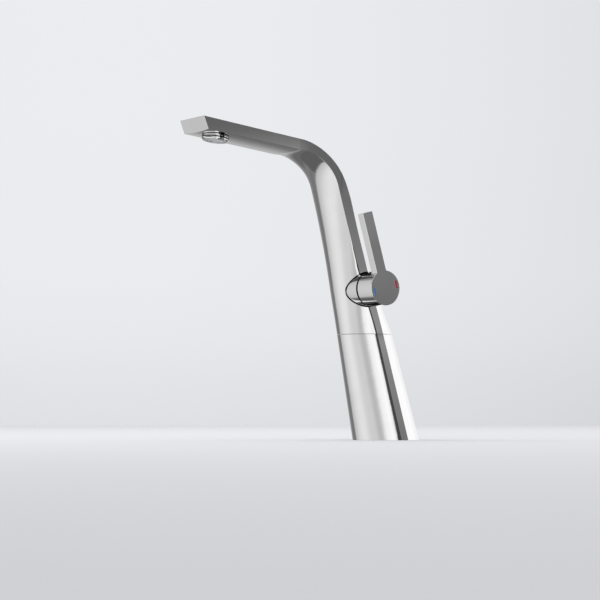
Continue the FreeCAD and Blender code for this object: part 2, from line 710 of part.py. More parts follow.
def cartridge():
    """Floor, seals, housing, fixed disc and nut, all still in the boss."""
    seat, floor = "-cartridge_seat", "(cartridge_base_thickness - cartridge_seat)"
    mouth = "(cartridge_length - cartridge_seat)"
    base = cartridge_body("cartridge_base")
    ring(base, "0", "cartridge_radius", seat, floor, "X")
    holes = [(*PORTS[name], "channel_radius") for name in ("cold", "hot")]
    holes.append((*PORTS["mixed"], "waterway_radius"))
    along(base, "holes", holes, seat, "cartridge_base_thickness")
    seats = [(*PORTS[name], "seal_radius + fit_gap") for name in PORTS]
    along(base, "seal_seats", seats, seat, "seal_wire")
    seals = cartridge_body("port_seals")
    seals.AllowCompound = True
    outer = [(*PORTS[name], "seal_radius") for name in PORTS]
    along(seals, "outer", outer, seat, "seal_wire - fit_gap", cut=False)
    inner = [(*PORTS[name], "waterway_radius - fit_gap") for name in PORTS]
    along(seals, "inner", inner, seat, "seal_wire")
    housing = cartridge_body("cartridge_housing")
    inner = "cartridge_radius - cartridge_wall"
    turn(housing, [(floor, inner), (floor, "cartridge_radius"), (mouth, "cartridge_radius"),
                   (mouth, "cartridge_mouth"), (f"{mouth} - cartridge_lip", "cartridge_mouth"),
                   (f"{mouth} - cartridge_lip", inner)], "X")
    disc = cartridge_body("fixed_disc")
    ring(disc, "0", "fixed_disc_radius", floor, f"{floor} + fixed_disc_thickness", "X")
    ports = [(*PORTS[name], "disc_port_radius") for name in PORTS]
    along(disc, "ports", ports, floor, "fixed_disc_thickness")
    nut = cartridge_body("cartridge_nut")
    ring(nut, "nut_ring_mouth", "cartridge_radius + nut_ring_wall",
         mouth, f"{mouth} + nut_ring_length", "X")


def mixing_parts():
    """Moving disc and its carrier slide; the rotor turns with the lever and holds the pivot pin."""
    low = "(cartridge_base_thickness - cartridge_seat + fixed_disc_thickness + slide_gap)"
    high = f"({low} + moving_disc_thickness)"
    top = f"({high} + carrier_thickness)"
    disc = cartridge_body("moving_disc")
    round_disc = [("0", "-disc_rest", "moving_disc_radius")]
    along(disc, "round", round_disc, low, "moving_disc_thickness", cut=False)
    along(disc, "pocket", [("0", "-disc_rest", "mixing_pocket_radius")], low, "mixing_pocket_depth")
    carrier = cartridge_body("disc_carrier")
    along(carrier, "round", round_disc, high, "carrier_thickness", cut=False)
    along(carrier, "socket", [("0", "0", "ball_radius + socket_clearance")],
          f"{high} + socket_floor", "carrier_thickness")
    rotor = cartridge_body("cartridge_rotor")
    neck = "cartridge_mouth - rotor_gap"
    shoulder = "(cartridge_length - cartridge_seat - cartridge_lip - rotor_gap)"
    tip = f"{shoulder} + rotor_gap + cartridge_lip + rotor_neck_rise"
    start = f"({top} + rotor_gap)"
    turn(rotor, [(start, "0"), (start, "rotor_radius"), (shoulder, "rotor_radius"),
                 (shoulder, neck), (tip, neck), (tip, "0")], "X")
    half = "(stem_half + stem_slot_gap)"
    room = "(stem_half + ({reach}) * sin(lift_range)) / cos(lift_range) + stem_slot_gap"
    below = room.format(reach=f"{tip} - pivot_side")
    above = room.format(reach=f"pivot_side - {start}")
    slot = outline(rotor, "slot", "YZ_Plane", [
        (f"-{half}", f"-({below})"), (half, f"-({below})"), (half, above), (f"-{half}", above)], lift=start)
    drill(rotor, slot, "cartridge_length")
    hole = discs(rotor, "pin_hole", "XZ_Plane", [
        ("pivot_side", "0", "pivot_pin_radius + fit_gap")], lift="-rotor_radius")
    drill(rotor, hole, "2 * rotor_radius")
    pin = cartridge_body("pivot_pin")
    shape = discs(pin, "round", "XZ_Plane", [
        ("pivot_side", "0", "pivot_pin_radius")], lift="rotor_gap - rotor_radius")
    pad(pin, shape, "2 * (rotor_radius - rotor_gap)")


def stem():
    """A square spindle that rocks on the pivot pin, with a ball at its inner end."""
    body = cartridge_body("stem")
    start = "(pivot_side - ball_reach + ball_radius + ball_neck_radius)"
    square = outline(body, "square", "YZ_Plane", [
        ("-stem_half", "-stem_half"), ("stem_half", "-stem_half"), ("stem_half", "stem_half"),
        ("-stem_half", "stem_half")], lift=start)
    pad(body, square, f"stem_end - {start}")
    along(body, "neck", [("0", "0", "ball_neck_radius")], "pivot_side - ball_reach",
          f"{start} - pivot_side + ball_reach", cut=False)
    ball = new_sketch(body, "ball", "XZ_Plane", across="pivot_side - ball_reach")
    circle = Part.Circle(FreeCAD.Vector(), FreeCAD.Vector(0, 0, 1), 2.4)
    ball.addGeometry(Part.ArcOfCircle(circle, 0.0, 3.14159))
    ball.addGeometry(Part.LineSegment(FreeCAD.Vector(-2.4, 0, 0), FreeCAD.Vector(2.4, 0, 0)))
    ball.addConstraint(Sketcher.Constraint("Coincident", 0, 2, 1, 1))
    ball.addConstraint(Sketcher.Constraint("Coincident", 0, 1, 1, 2))
    pin_point(ball, 0, 3, "0", "0")
    pin_point(ball, 0, 1, "ball_radius", "0")
    index = ball.addConstraint(Sketcher.Constraint("DistanceY", -1, 1, 0, 2, 0.0))
    bind(ball, f"Constraints[{index}]", "0")
    turned = body.newObject("PartDesign::Revolution", "stem_ball_turn")
    turned.Profile = ball
    turned.ReferenceAxis = (ball, ["H_Axis"])
    turned.Angle = 360
    hole = discs(body, "pin_hole", "XZ_Plane", [
        ("pivot_side", "0", "pivot_pin_radius + running_gap")], lift="-2 * stem_half")
    drill(body, hole, "4 * stem_half")


ROOT_STEPS = 4


def handle():
    """A round cap with a lever bar on it, its outer face one plane with the bar's."""
    body = cartridge_body("handle")
    rim = "(boss_face + handle_gap)"
    turn(body, [(rim, "handle_radius - rim_wall"), (rim, "handle_radius"), ("handle_face", "handle_radius"),
                ("handle_face", "0"), ("handle_face - handle_plate", "0"),
                ("handle_face - handle_plate", "handle_radius - handle_wall"),
                (f"{rim} + rim_depth", "handle_radius - handle_wall"),
                (f"{rim} + rim_depth", "handle_radius - rim_wall")], "X")
    corner = "(lever_half_width + lever_root_radius)"
    rise = f"sqrt((handle_radius + lever_root_radius)^2 - {corner}^2)"
    sweep = f"acos({corner} / (handle_radius + lever_root_radius))"
    edge = [(corner, "handle_radius / 2")]
    for step in range(ROOT_STEPS, -1, -1):
        angle = f"({sweep} * {step} / {ROOT_STEPS})"
        edge.append((f"{corner} - lever_root_radius * cos({angle})",
                     f"{rise} - lever_root_radius * sin({angle})"))
    edge.append(("lever_half_width", "lever_reach"))
    mirrored = [(f"-({across})", up) for across, up in reversed(edge)]
    bar = outline(body, "bar", "YZ_Plane", edge + mirrored, lift="handle_face - lever_thickness")
    pad(body, bar, "lever_thickness")
    along(body, "hub", [("0", "0", "hub_radius")],
          "hub_start", "handle_face - handle_plate - hub_start", cut=False)
    half = "(stem_half + socket_gap)"
    socket = outline(body, "socket", "YZ_Plane", [
        (f"-{half}", f"-{half}"), (half, f"-{half}"), (half, half), (f"-{half}", half)], lift="hub_start")
    drill(body, socket, "stem_end + face_gap - hub_start")
    tapped = discs(body, "screw_hole", "XY_Plane", [
        ("screw_side", "0", "screw_radius + thread_gap")], lift="-hub_radius - stem_half")
    drill(body, tapped, "hub_radius")
    access = discs(body, "plug_hole", "XY_Plane", [
        ("screw_side", "0", "plug_radius + fit_gap")], lift="-handle_radius - handle_wall")
    drill(body, access, "2 * handle_wall + plug_radius")
    for name, sign in (("cold", "-"), ("hot", "")):
        recess = mark_outline(body, name, sign, "mark_half_length + fit_gap", "mark_width / 2 + fit_gap")
        drill(body, recess, "2 * mark_inlay")
    screw = cartridge_body("grub_screw")
    round_end = discs(screw, "round", "XY_Plane", [("screw_side", "0", "screw_radius")],
                      lift="-stem_half - screw_length")
    pad(screw, round_end, "screw_length")
    plug = cartridge_body("screw_plug")
    cap = discs(plug, "round", "XY_Plane", [("screw_side", "0", "plug_radius")],
                lift="-handle_radius + face_gap")
    pad(plug, cap, "handle_wall - 2 * face_gap")
    for name, sign in (("cold", "-"), ("hot", "")):
        mark = cartridge_body(f"{name}_mark")
        shape = mark_outline(mark, name, sign, "mark_half_length", "mark_width / 2")
        pad(mark, shape, "mark_inlay")


def mark_outline(body, name, sign, half_length, half_width):
    middle = f"({sign}mark_radius)"
    return outline(body, f"{name}_shape", "YZ_Plane", [
        (f"{middle} - ({half_width})", f"-({half_length})"),
        (f"{middle} + ({half_width})", f"-({half_length})"),
        (f"{middle} + ({half_width})", f"({half_length})"),
        (f"{middle} - ({half_width})", f"({half_length})")], lift="handle_face - mark_inlay")


foot()
bearing_seat()
fixing_set()
swivel_bearing()
spout()
aerator()
cartridge()
mixing_parts()
stem()
handle()
doc.recompute()
faults = [thing.Name for thing in doc.Objects if {"Invalid", "Error"} & set(thing.State)]
faults += [body.Label for body in PARTS if body.Shape.isNull() or not body.Shape.isValid()]
if faults:
    raise RuntimeError(f"not built: {faults}")
os.makedirs("parts", exist_ok=True)
for body in PARTS:
    body.Shape.exportStep(f"parts/{body.Label}.step")
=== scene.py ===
import bmesh
import bpy
import json
import math
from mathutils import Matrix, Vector


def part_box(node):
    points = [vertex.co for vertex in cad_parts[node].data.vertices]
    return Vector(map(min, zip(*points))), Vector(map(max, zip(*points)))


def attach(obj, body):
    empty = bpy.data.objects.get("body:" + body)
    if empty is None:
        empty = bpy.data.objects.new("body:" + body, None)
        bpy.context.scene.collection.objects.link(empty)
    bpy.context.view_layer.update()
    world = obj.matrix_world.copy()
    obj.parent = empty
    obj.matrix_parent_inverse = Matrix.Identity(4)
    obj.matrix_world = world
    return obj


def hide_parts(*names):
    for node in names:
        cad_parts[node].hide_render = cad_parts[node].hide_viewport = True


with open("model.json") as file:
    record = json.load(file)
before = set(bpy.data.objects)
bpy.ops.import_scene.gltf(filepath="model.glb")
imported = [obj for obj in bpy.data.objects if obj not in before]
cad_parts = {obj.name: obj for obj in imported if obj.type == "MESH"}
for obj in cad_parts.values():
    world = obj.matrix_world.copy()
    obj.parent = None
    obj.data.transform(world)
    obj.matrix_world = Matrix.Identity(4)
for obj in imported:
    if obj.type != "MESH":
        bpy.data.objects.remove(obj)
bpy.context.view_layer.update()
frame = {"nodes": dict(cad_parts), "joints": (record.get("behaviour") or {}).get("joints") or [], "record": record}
nodes = frame["nodes"]

# Fixing set under the deck: a threaded stud, a nut and a horseshoe plate pull the foot down.
# The stud, nut and plate are plain stainless steel. The stud is thread-rolled, the nut is
# turned from hexagon bar, and the plate is stamped, with a moulded rubber cushion over it.


def new_material(name):
    """A node material with its surface shader, ready to be wired."""
    material = bpy.data.materials.new(name)
    material.use_nodes = True
    tree = material.node_tree
    return material, tree, tree.nodes["Principled BSDF"]


def new_group(name, inputs, outputs):
    """A shader node group with the usual values of its inputs and the kinds of its outputs."""
    group = bpy.data.node_groups.new(name, "ShaderNodeTree")
    for label, value in inputs.items():
        socket = group.interface.new_socket(label, in_out="INPUT", socket_type="NodeSocketFloat")
        socket.default_value = value
    for label, kind in outputs.items():
        group.interface.new_socket(label, in_out="OUTPUT", socket_type="NodeSocket" + kind)
    given = group.nodes.new("NodeGroupInput").outputs
    result = group.nodes.new("NodeGroupOutput").inputs
    return group, given, result


def place(tree, group, **values):
    """The group as a node in a material, with its own values."""
    node = tree.nodes.new("ShaderNodeGroup")
    node.node_tree = group
    node.name = group.name
    for label, value in values.items():
        node.inputs[label].default_value = value
    return node


def feed(tree, socket, value):
    """Links a socket to another, or sets it to a plain value."""
    if isinstance(value, bpy.types.NodeSocket):
        tree.links.new(value, socket)
    else:
        socket.default_value = value


def on_piece(tree, kind="Object"):
    """The place on the piece in metres from the tap's own origin, or its normal there."""
    return tree.nodes.new("ShaderNodeTexCoord").outputs[kind]


def reckon(tree, operation, *values, clamp=False):
    """One step of arithmetic on values that change over the surface."""
    step = tree.nodes.new("ShaderNodeMath")
    step.operation = operation
    step.use_clamp = clamp
    for socket, value in zip(step.inputs, values):
        feed(tree, socket, value)
    return step.outputs[0]


def mottle(tree, where, **settings):
    """A cloudy pattern between nought and one."""
    cloud = tree.nodes.new("ShaderNodeTexNoise")
    tree.links.new(where, cloud.inputs["Vector"])
    for label, value in settings.items():
        feed(tree, cloud.inputs[label], value)
    return cloud.outputs["Fac"]


def raised(tree, height, distance, strength):
    """A bump node for a slight relief."""
    bump = tree.nodes.new("ShaderNodeBump")
    bump.inputs["Distance"].default_value = distance
    tree.links.new(strength, bump.inputs["Strength"])
    tree.links.new(height, bump.inputs["Height"])
    return bump


def put_out(group, result, **values):
    """Joins the ends of a group's wiring to its outputs."""
    for label, value in values.items():
        group.links.new(value, result[label])


def drawn_metal_group():
    """Fine lines left by a tool, as a roughness and a bump."""
    line_stretch = (0.15, 0.15, 1.0)
    line_share = 0.6
    middle = 0.5 * line_share + 0.5
    group, given, result = new_group(
        "tool lines", {"Scale": 900.0, "Roughness": 0.3, "Spread": 0.12, "Depth": 0.2},
        {"Roughness": "Float", "Normal": "Vector"})
    where = on_piece(group)
    stretched = group.nodes.new("ShaderNodeMapping")
    stretched.inputs["Scale"].default_value = line_stretch
    group.links.new(where, stretched.inputs["Vector"])
    lines = mottle(group, stretched.outputs["Vector"], Scale=given["Scale"], Detail=3.0)
    blotches = mottle(group, where, Scale=140.0)
    marks = reckon(group, "MULTIPLY_ADD", lines, line_share, blotches)
    centred = reckon(group, "SUBTRACT", marks, middle)
    put_out(group, result,
            Roughness=reckon(group, "MULTIPLY_ADD", centred, given["Spread"], given["Roughness"]),
            Normal=raised(group, lines, distance=0.00005, strength=given["Depth"]).outputs["Normal"])
    return group


tool_lines = drawn_metal_group()


def carry_over(tree, effect, surface):
    """Hands the roughness and the normal of a group to the surface shader."""
    for label in ("Roughness", "Normal"):
        tree.links.new(effect.outputs[label], surface.inputs[label])


def tooled_metal(name, colour, roughness, scale=900.0):
    """A bare metal with the marks of the tool that turned or drew it."""
    material, tree, surface = new_material(name)
    marks = place(tree, tool_lines, Scale=scale, Roughness=roughness, Spread=0.14, Depth=0.25)
    surface.inputs["Base Color"].default_value = (*colour, 1.0)
    surface.inputs["Metallic"].default_value = 1.0
    carry_over(tree, marks, surface)
    return material


def moulded_grain_group():
    """The faint grain of a moulding tool, as a tint, a roughness and a bump."""
    group, given, result = new_group(
        "moulded grain", {"Scale": 2500.0, "Roughness": 0.5, "Spread": 0.15, "Depth": 0.3},
        {"Tint": "Float", "Roughness": "Float", "Normal": "Vector"})
    where = on_piece(group)
    grain = mottle(group, where, Scale=given["Scale"], Detail=4.0)
    flow = mottle(group, where, Scale=90.0)
    put_out(group, result, Tint=flow,
            Roughness=reckon(group, "MULTIPLY_ADD", grain, given["Spread"], given["Roughness"]),
            Normal=raised(group, grain, distance=0.00006, strength=given["Depth"]).outputs["Normal"])
    return group


moulded_grain = moulded_grain_group()


def two_tones(tree, share, first, last, start=0.0, end=1.0):
    """A colour that passes from one tone to another while a share runs from start to end."""
    tones = tree.nodes.new("ShaderNodeValToRGB")
    for element, spot, colour in zip(tones.color_ramp.elements, (start, end), (first, last)):
        element.position = spot
        element.color = (*colour, 1.0)
    tree.links.new(share, tones.inputs["Fac"])
    return tones.outputs["Color"]


def moulding(name, dark, light, roughness, depth=0.3, scale=2500.0):
    """A moulded rubber or plastic whose colour drifts a little between two tones."""
    material, tree, surface = new_material(name)
    grain = place(tree, moulded_grain, Scale=scale, Roughness=roughness, Spread=0.15, Depth=depth)
    tones = two_tones(tree, grain.outputs["Tint"], dark, light, start=0.35, end=0.65)
    tree.links.new(tones, surface.inputs["Base Color"])
    carry_over(tree, grain, surface)
    return material


def finish_nodes(material, *names):
    """Gives solids their finish."""
    for name in names:
        for slot in nodes[name].material_slots:
            slot.material = material


stainless = tooled_metal("plain stainless steel", (0.60, 0.60, 0.59), roughness=0.30)
black_rubber = moulding(
    "moulded black rubber", (0.020, 0.020, 0.021), (0.032, 0.032, 0.034), roughness=0.55, depth=0.5)
finish_nodes(stainless, "mounting_nut", "clamp_plate")
finish_nodes(black_rubber, "rubber_cushion", "base_gasket")

THREAD_PITCH = 0.00125
THREAD_DEPTH = 0.00062
THREAD_SIDES = 32
ROWS_A_TURN = 4
PLAIN_ROWS = 4
FLANK_STEEPNESS = 2.4


def threaded_rod(name, low, high):
    """A rod whose rolled thread winds up between two heights, plain at both ends."""
    centre = (low + high) / 2
    radius = (high.x - low.x) / 2
    steps = int((high.z - low.z) / THREAD_PITCH * ROWS_A_TURN)
    mesh = bmesh.new()
    rows = []
    for row in range(steps + 1):
        height = low.z + (high.z - low.z) * row / steps
        plain = min(row, steps - row) < PLAIN_ROWS
        ring = []
        for side in range(THREAD_SIDES):
            angle = 2 * math.pi * side / THREAD_SIDES
            phase = ((height - low.z) / THREAD_PITCH - side / THREAD_SIDES) % 1.0
            flank = min(1.0, FLANK_STEEPNESS * abs(phase - 0.5))
            reach = radius - THREAD_DEPTH * (1.0 if plain else flank)
            ring.append(mesh.verts.new((centre.x + reach * math.cos(angle),
                                        centre.y + reach * math.sin(angle), height)))
        rows.append(ring)
    for lower, upper in zip(rows, rows[1:]):
        for side in range(THREAD_SIDES):
            after = (side + 1) % THREAD_SIDES
            mesh.faces.new((lower[side], lower[after], upper[after], upper[side]))
    mesh.faces.new(reversed(rows[0]))
    mesh.faces.new(rows[-1])
    data = bpy.data.meshes.new(name)
    mesh.to_mesh(data)
    mesh.free()
    rod = bpy.data.objects.new(name, data)
    bpy.context.collection.objects.link(rod)
    return rod


stud = threaded_rod("rolled_stud", *map(Vector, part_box("mounting_stud")))
stud.data.materials.append(stainless)
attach(stud, "base")
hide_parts("mounting_stud")

# The foot: a leaning, tapering brass casting, turned, ground flat on either side,
# polished and plated. The plating is bright chrome, as on every other outer piece of the tap.


def pass_over(tree, value, start, end, low=0.0, high=1.0, smooth=False):
    """Goes from low to high while a value runs from start to end."""
    passage = tree.nodes.new("ShaderNodeMapRange")
    passage.interpolation_type = "SMOOTHSTEP" if smooth else "LINEAR"
    for label, number in (("From Min", start), ("From Max", end), ("To Min", low), ("To Max", high)):
        passage.inputs[label].default_value = number
    tree.links.new(value, passage.inputs["Value"])
    return passage.outputs["Result"]


def polish_group():
    """What buffing and use leave on bright plating: eased edges, a slow drift of the roughness
    and a faint ripple; with a mask for painted shade in the creases, where little light gets in."""
    crease_reach = 0.004
    shut, open_wide = 0.20, 0.55
    well_buffed = 0.45
    group, given, result = new_group(
        "hand polish", {"Edge": 0.0004, "Grime": 1.0, "Roughness": 0.03, "Spread": 0.03, "Ripple": 0.05},
        {"Tint": "Float", "Crevice": "Float", "Roughness": "Float", "Normal": "Vector"})
    where = on_piece(group)
    smear = mottle(group, where, Scale=38.0, Detail=5.0, Distortion=0.6)
    ripple = mottle(group, where, Scale=55.0, Detail=1.0)
    dulled = reckon(group, "SUBTRACT", smear, well_buffed, clamp=True)
    # Shade is painted where the hollows near a point shut out most of the room's light.
    opening = group.nodes.new("ShaderNodeAmbientOcclusion")
    opening.samples = 8
    opening.inputs["Distance"].default_value = crease_reach
    crevice = pass_over(group, opening.outputs["AO"], shut, open_wide, 1.0, 0.0)
    eased = group.nodes.new("ShaderNodeBevel")
    eased.samples = 16
    group.links.new(given["Edge"], eased.inputs["Radius"])
    bump = raised(group, ripple, distance=0.0001, strength=given["Ripple"])
    group.links.new(eased.outputs["Normal"], bump.inputs["Normal"])
    put_out(group, result, Tint=dulled, Crevice=reckon(group, "MULTIPLY", crevice, given["Grime"]),
            Roughness=reckon(group, "MULTIPLY_ADD", dulled, given["Spread"], given["Roughness"]),
            Normal=bump.outputs["Normal"])
    return group


hand_polish = polish_group()


def laid_over(tree, under, over, mask, kind="RGBA"):
    """One colour or direction over another, where the mask is one."""
    layer = tree.nodes.new("ShaderNodeMix")
    layer.data_type = kind
    for label, value in (("Factor", mask), ("A", under), ("B", over)):
        feed(tree, layer.inputs[label], value)
    return layer.outputs["Result"]


CLEAN_CHROME = (0.935, 0.935, 0.935)
DULLED_CHROME = (0.82, 0.82, 0.82)
# The near-black colour of painted shade.
PAINTED_SHADE_COLOUR = (0.02, 0.02, 0.02, 1.0)


def bright_plate(name, edge, painted_shade=1.0):
    """Bright chrome plate, painted near black as shade where the factor of its mixing node is one."""
    material, tree, surface = new_material(name)
    polish = place(tree, hand_polish, Edge=edge, Grime=painted_shade, Roughness=0.02, Spread=0.06, Ripple=0.03)
    tones = two_tones(tree, polish.outputs["Tint"], CLEAN_CHROME, DULLED_CHROME)
    colour = laid_over(tree, tones, PAINTED_SHADE_COLOUR, polish.outputs["Crevice"])
    colour.node.name = "painted_shade"
    tree.links.new(colour, surface.inputs["Base Color"])
    surface.inputs["Metallic"].default_value = 1.0
    carry_over(tree, polish, surface)
    return material


# On the foot the painted shade in the creases is faint.
SEAM_EDGE = 0.00015
SEAM_CREASE_SHADE = 0.2
finish_nodes(bright_plate("bright chrome plate on the foot", SEAM_EDGE, SEAM_CREASE_SHADE), "base_body")

# The swivel between the foot and the upper body. The turned brass sleeve runs in a plastic
# bush, in a brass seat soldered into the foot. A glide ring carries the weight, a washer and
# a steel clip hold it down from inside, and a steel pin stops the turn.
turned_brass = tooled_metal("turned brass", (0.62, 0.46, 0.20), roughness=0.24, scale=1400.0)
acetal = moulding("natural acetal", (0.70, 0.69, 0.64), (0.78, 0.77, 0.73), roughness=0.38, depth=0.15)
finish_nodes(turned_brass, "swivel_sleeve", "bearing_seat")
finish_nodes(acetal, "bearing_bush", "glide_ring", "thrust_washer")
finish_nodes(stainless, "retaining_clip", "stop_pin")

# The upper body: neck, bend, flat arm and the round boss for the cartridge are one brass
# casting with its water ways cored in, ground, polished and plated like the foot.
BODY_EDGE = 0.0004
body_plate = bright_plate("bright chrome plate on the body", BODY_EDGE)
tree = body_plate.node_tree


def axes(tree, vector):
    """The three parts of a place or a direction."""
    split = tree.nodes.new("ShaderNodeSeparateXYZ")
    tree.links.new(vector, split.inputs[0])
    return split.outputs


across, back, height = axes(tree, on_piece(tree))

# At the seam over the foot the edges are as crisp as on the foot, and the painted shade in the creases is as faint
# as on the foot.
CRISP_BELOW, SOFT_ABOVE = 0.0075, 0.0135
FAINT_SHADE_BELOW, FULL_SHADE_ABOVE = 0.0035, 0.0155
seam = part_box("base_body")[1].z
polish = tree.nodes["hand polish"]
edge = pass_over(tree, height, seam + CRISP_BELOW, seam + SOFT_ABOVE, SEAM_EDGE, BODY_EDGE)
tree.links.new(edge, polish.inputs["Edge"])
painted_shade = pass_over(tree, height, seam + FAINT_SHADE_BELOW, seam + FULL_SHADE_ABOVE, SEAM_CREASE_SHADE, 1.0)
tree.links.new(painted_shade, polish.inputs["Grime"])


def by_height(tree, height, points):
    """A value that follows straight runs between (height, value) points."""
    low, high = points[0][0], points[-1][0]
    largest = max(value for level, value in points)
    follow = tree.nodes.new("ShaderNodeFloatCurve")
    follow.mapping.extend = "HORIZONTAL"
    curve = follow.mapping.curves[0]
    there_already = len(curve.points)
    for step, (level, value) in enumerate(points):
        spot = ((level - low) / (high - low), value / largest)
        if step < there_already:
            curve.points[step].location = spot
        else:
            curve.points.new(*spot)
    for point in curve.points:
        point.handle_type = "VECTOR"
    follow.mapping.update()
    tree.links.new(pass_over(tree, height, low, high), follow.inputs["Value"])
    return reckon(tree, "MULTIPLY", follow.outputs[0], largest)


def reckon_place(tree, operation, first, second=None):
    """One step of arithmetic on places or directions."""
    step = tree.nodes.new("ShaderNodeVectorMath")
    step.operation = operation
    tree.links.new(first, step.inputs[0])
    if second is not None:
        step.inputs[1].default_value = second
    measured = operation in ("DOT_PRODUCT", "LENGTH", "DISTANCE")
    return step.outputs["Value" if measured else "Vector"]


def leant(tree, under, direction, mask):
    """A normal turned towards a direction of the piece, where its mask is one."""
    aim = tree.nodes.new("ShaderNodeCombineXYZ")
    for socket, value in zip(aim.inputs, direction):
        feed(tree, socket, value)
    outward = tree.nodes.new("ShaderNodeVectorTransform")
    outward.vector_type = "VECTOR"
    outward.convert_from = "OBJECT"
    outward.convert_to = "WORLD"
    tree.links.new(aim.outputs[0], outward.inputs[0])
    return reckon_place(tree, "NORMALIZE", laid_over(tree, under, outward.outputs[0], mask, "VECTOR"))


# A crease runs up the neck where the round front meets each flat. The line gives how far it
# stands before the axis at each height, and the strips along it are rolled to face sideways.
CREASE_LINE = (
    (0.105, 0.0292), (0.1282, 0.0375), (0.131, 0.0385), (0.1708, 0.0514), (0.2103, 0.0627), (0.234, 0.0693))
DARK_STRIP = (
    (0.105, 0.0018), (0.118, 0.0014), (0.131, 0.0014), (0.170, 0.0010), (0.176, 0.0006), (0.188, 0.0005),
    (0.193, 0.0001), (0.200, 0.00002), (0.31, 0.00002))
LIGHT_STRIP = (
    (0.105, 0.0050), (0.116, 0.0042), (0.128, 0.0026), (0.134, 0.0022), (0.160, 0.0030), (0.170, 0.0029),
    (0.176, 0.0020), (0.182, 0.0017), (0.188, 0.0017), (0.194, 0.0008), (0.210, 0.00002), (0.31, 0.00002))
DARK_TURN = math.radians(83.5)
LIGHT_TURN = math.radians(73)
STRIP_START = -0.0002
FRONT_HALF_WIDTH = 0.0274
side = reckon(tree, "SIGN", across)
aside = reckon(tree, "ABSOLUTE", across)
forward = reckon(tree, "MULTIPLY", back, -1.0)
ahead = reckon(tree, "SUBTRACT", forward, by_height(tree, height, CREASE_LINE))
on_front = reckon(tree, "MULTIPLY", reckon(tree, "GREATER_THAN", ahead, STRIP_START),
                  reckon(tree, "LESS_THAN", aside, FRONT_HALF_WIDTH))
rolled = reckon(tree, "DIVIDE", ahead, by_height(tree, height, LIGHT_STRIP))
light_strip = reckon(tree, "SUBTRACT", 1.0, reckon(tree, "MULTIPLY", rolled, rolled), clamp=True)
light_strip = reckon(tree, "MULTIPLY", light_strip, on_front)
dark_strip = reckon(tree, "LESS_THAN", ahead, by_height(tree, height, DARK_STRIP))
dark_strip = reckon(tree, "MULTIPLY", dark_strip, on_front)
skin = polish.outputs["Normal"]
for turn, strip in ((LIGHT_TURN, light_strip), (DARK_TURN, dark_strip)):
    outward = reckon(tree, "MULTIPLY", side, math.sin(turn))
    skin = leant(tree, skin, (outward, -math.cos(turn), 0.0), strip)

# The flats are ground with a slight upward lean, in degrees at each height, up to the bend.
FLAT_LEAN = (
    (0.105, 3.02), (0.131, 2.62), (0.165, 2.10), (0.170, 2.05), (0.182, 1.86), (0.188, 1.78),
    (0.200, 1.60), (0.208, 1.49), (0.224, 1.27), (0.240, 1.06))
FLAT_FACING = 0.997
FLAT_HALF_WIDTH = 0.029
BEND_START, BEND_END = 0.236, 0.250
facing = reckon(tree, "ABSOLUTE", axes(tree, on_piece(tree, "Normal"))["X"])
below_bend = pass_over(tree, height, BEND_START, BEND_END, 1.0, 0.0)
on_flat = reckon(tree, "MULTIPLY", reckon(tree, "GREATER_THAN", facing, FLAT_FACING), below_bend)
on_flat = reckon(tree, "MULTIPLY", on_flat, reckon(tree, "LESS_THAN", aside, FLAT_HALF_WIDTH))
lean = reckon(tree, "RADIANS", by_height(tree, height, FLAT_LEAN))
outward = reckon(tree, "MULTIPLY", side, reckon(tree, "COSINE", lean))
skin = leant(tree, skin, (outward, 0.0, reckon(tree, "SINE", lean)), on_flat)
tree.links.new(skin, tree.nodes["Principled BSDF"].inputs["Normal"])


def paint_dark_also(tree, *masks):
    """Paints a bright plate near black where a mask is one, beside the painted shade in its crevices."""
    painted_dark = tree.nodes["hand polish"].outputs["Crevice"]
    for mask in masks:
        painted_dark = reckon(tree, "MAXIMUM", painted_dark, mask)
    tree.links.new(painted_dark, tree.nodes["painted_shade"].inputs["Factor"])


# The end of the boss is painted near black as shade, and a fine line along the crease above the boss is painted
# near black as a dark reflection.
BOSS_BRIGHT_UP_TO, BOSS_SHADED_FROM = 0.0004, 0.0002
PAINTED_LINE_START = 0.16
boss_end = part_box("spout_body")[1].x
shaded_boss_end = pass_over(tree, across, boss_end - BOSS_BRIGHT_UP_TO, boss_end - BOSS_SHADED_FROM)
above_boss = reckon(tree, "GREATER_THAN", height, PAINTED_LINE_START)
painted_crease_line = reckon(tree, "MULTIPLY", reckon(tree, "MULTIPLY", dark_strip, above_boss),
              reckon(tree, "SUBTRACT", 1.0, on_flat))
paint_dark_also(tree, shaded_boss_end, painted_crease_line)
finish_nodes(body_plate, "spout_body")

# The cartridge in the boss: a glass-filled plastic floor, housing, rotor and disc carrier,
# two lapped ceramic discs, three rubber port seals and a pivot pin. A brass nut holds it in.
cartridge_grey = moulding(
    "glass-filled grey plastic", (0.48, 0.49, 0.50), (0.56, 0.57, 0.58), roughness=0.45, depth=0.4,
    scale=3200.0)
lapped_ceramic = moulding(
    "lapped white ceramic", (0.84, 0.83, 0.79), (0.90, 0.89, 0.86), roughness=0.12, depth=0.05,
    scale=5000.0)
finish_nodes(cartridge_grey, "cartridge_base", "cartridge_housing", "cartridge_rotor", "disc_carrier")
finish_nodes(lapped_ceramic, "fixed_disc", "moving_disc")
finish_nodes(black_rubber, "port_seals")
finish_nodes(stainless, "pivot_pin")
finish_nodes(turned_brass, "cartridge_nut")

